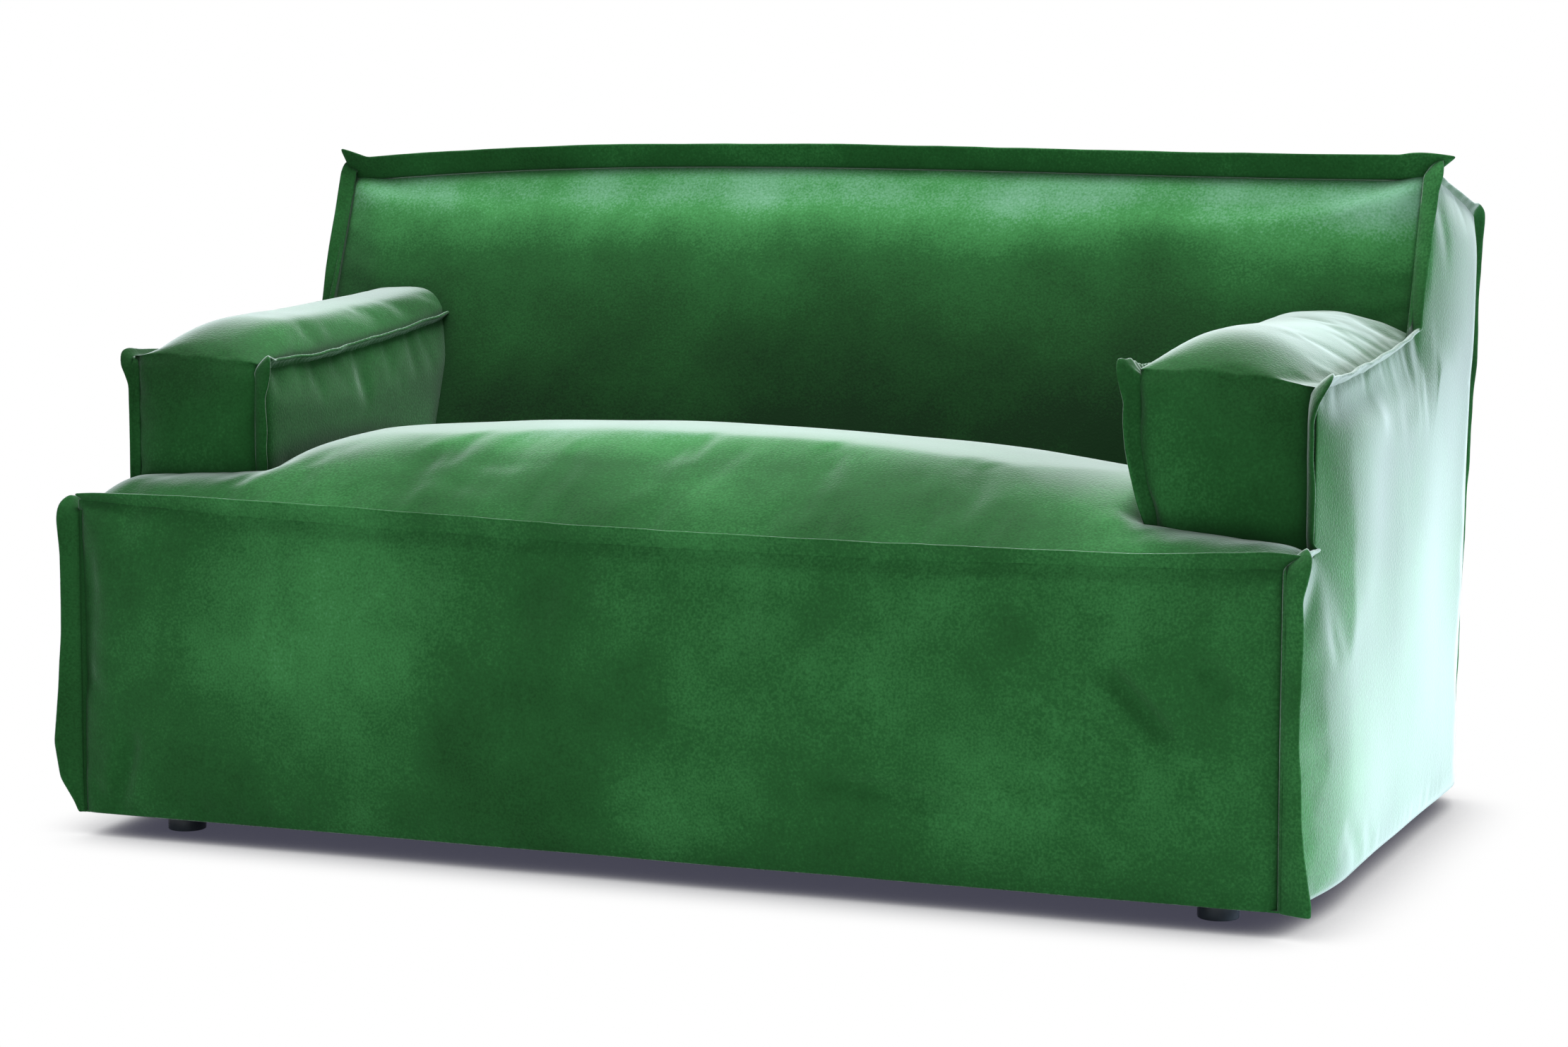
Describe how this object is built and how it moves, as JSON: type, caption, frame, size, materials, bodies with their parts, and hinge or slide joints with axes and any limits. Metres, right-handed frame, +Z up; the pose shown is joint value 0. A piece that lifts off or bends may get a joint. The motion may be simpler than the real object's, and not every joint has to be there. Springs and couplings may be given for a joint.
{
  "type": "loveseat",
  "caption": "Slip-covered loveseat in velvet with stand-up seam lips, a tight crowned T-shaped seat, low block arms, a raked back and screw-in levelling feet.",
  "frame": {"origin": "on the floor, at the middle of the overall width and depth", "axes": "+Z up, the front faces -Y, +X to the right of someone who looks at the front"},
  "size_m": [1.602, 1.028, 0.8751],
  "materials": {
    "velvet": "short-pile green velvet with a soft sheen",
    "plywood": "sawn birch plywood",
    "timber": "planed softwood",
    "hardboard": "smooth hardboard",
    "foam": "open-cell upholstery foam",
    "wadding": "white polyester wadding",
    "felt": "grey needle felt",
    "webbing": "elastic webbing",
    "dust_cloth": "black non-woven cloth",
    "tape": "hook-and-loop tape",
    "spring_steel": "bare spring wire",
    "zinc": "zinc plated",
    "foot_plastic": "moulded dark grey plastic"
  },
  "bodies": {
    "sofa": {"front_panel": "velvet", "seat_panel": "velvet", "inside_back_panel": "velvet", "back_top_panel": "velvet", "rear_panel": "velvet", "side_panel_right": "velvet", "side_panel_left": "velvet", "arm_top_panel_right": "velvet", "arm_top_panel_left": "velvet", "arm_front_panel_right": "velvet", "arm_front_panel_left": "velvet", "arm_inside_panel_right": "velvet", "arm_inside_panel_left": "velvet", "side_lip_right": "velvet", "side_lip_left": "velvet", "front_lip": "velvet", "back_lip": "velvet", "arm_lip_right": "velvet", "arm_lip_left": "velvet", "front_pad": "foam", "seat_foam": "foam", "seat_wadding": "wadding", "back_foam": "foam", "side_pad_right": "foam", "side_pad_left": "foam", "arm_pad_right": "foam", "arm_pad_left": "foam", "front_rail": "timber", "seat_rear_rail": "timber", "rear_rail": "timber", "back_lower_rail": "timber", "back_top_rail": "timber", "back_top_board": "plywood", "side_frame_right": "plywood", "side_frame_left": "plywood", "frame_screws": "zinc", "centre_stretcher": "timber", "back_centre_post": "timber", "backing_board": "hardboard", "arm_inner_board_right": "plywood", "arm_inner_board_left": "plywood", "arm_top_board_right": "plywood", "arm_top_board_left": "plywood", "arm_front_board_right": "plywood", "arm_front_board_left": "plywood", "corner_blocks": "timber", "tee_nuts": "zinc", "seat_springs": "spring_steel", "spring_clips": "zinc", "seat_felt": "felt", "back_webbing": "webbing", "dust_cover": "dust_cloth", "hem_flaps": "velvet", "hem_tape": "tape"},
    "foot_front_right": {"foot_front_right": "foot_plastic"},
    "foot_front_left": {"foot_front_left": "foot_plastic"},
    "foot_rear_right": {"foot_rear_right": "foot_plastic"},
    "foot_rear_left": {"foot_rear_left": "foot_plastic"}
  },
  "joints": [
    {"name": "front_right_foot_screw", "type": "slide", "parent": "sofa", "child": "foot_front_right", "axis": [0, 0, -1], "range_m": [0, 0.01]},
    {"name": "front_left_foot_screw", "type": "slide", "parent": "sofa", "child": "foot_front_left", "axis": [0, 0, -1], "range_m": [0, 0.01]},
    {"name": "rear_right_foot_screw", "type": "slide", "parent": "sofa", "child": "foot_rear_right", "axis": [0, 0, -1], "range_m": [0, 0.01]},
    {"name": "rear_left_foot_screw", "type": "slide", "parent": "sofa", "child": "foot_rear_left", "axis": [0, 0, -1], "range_m": [0, 0.01]}
  ]
}
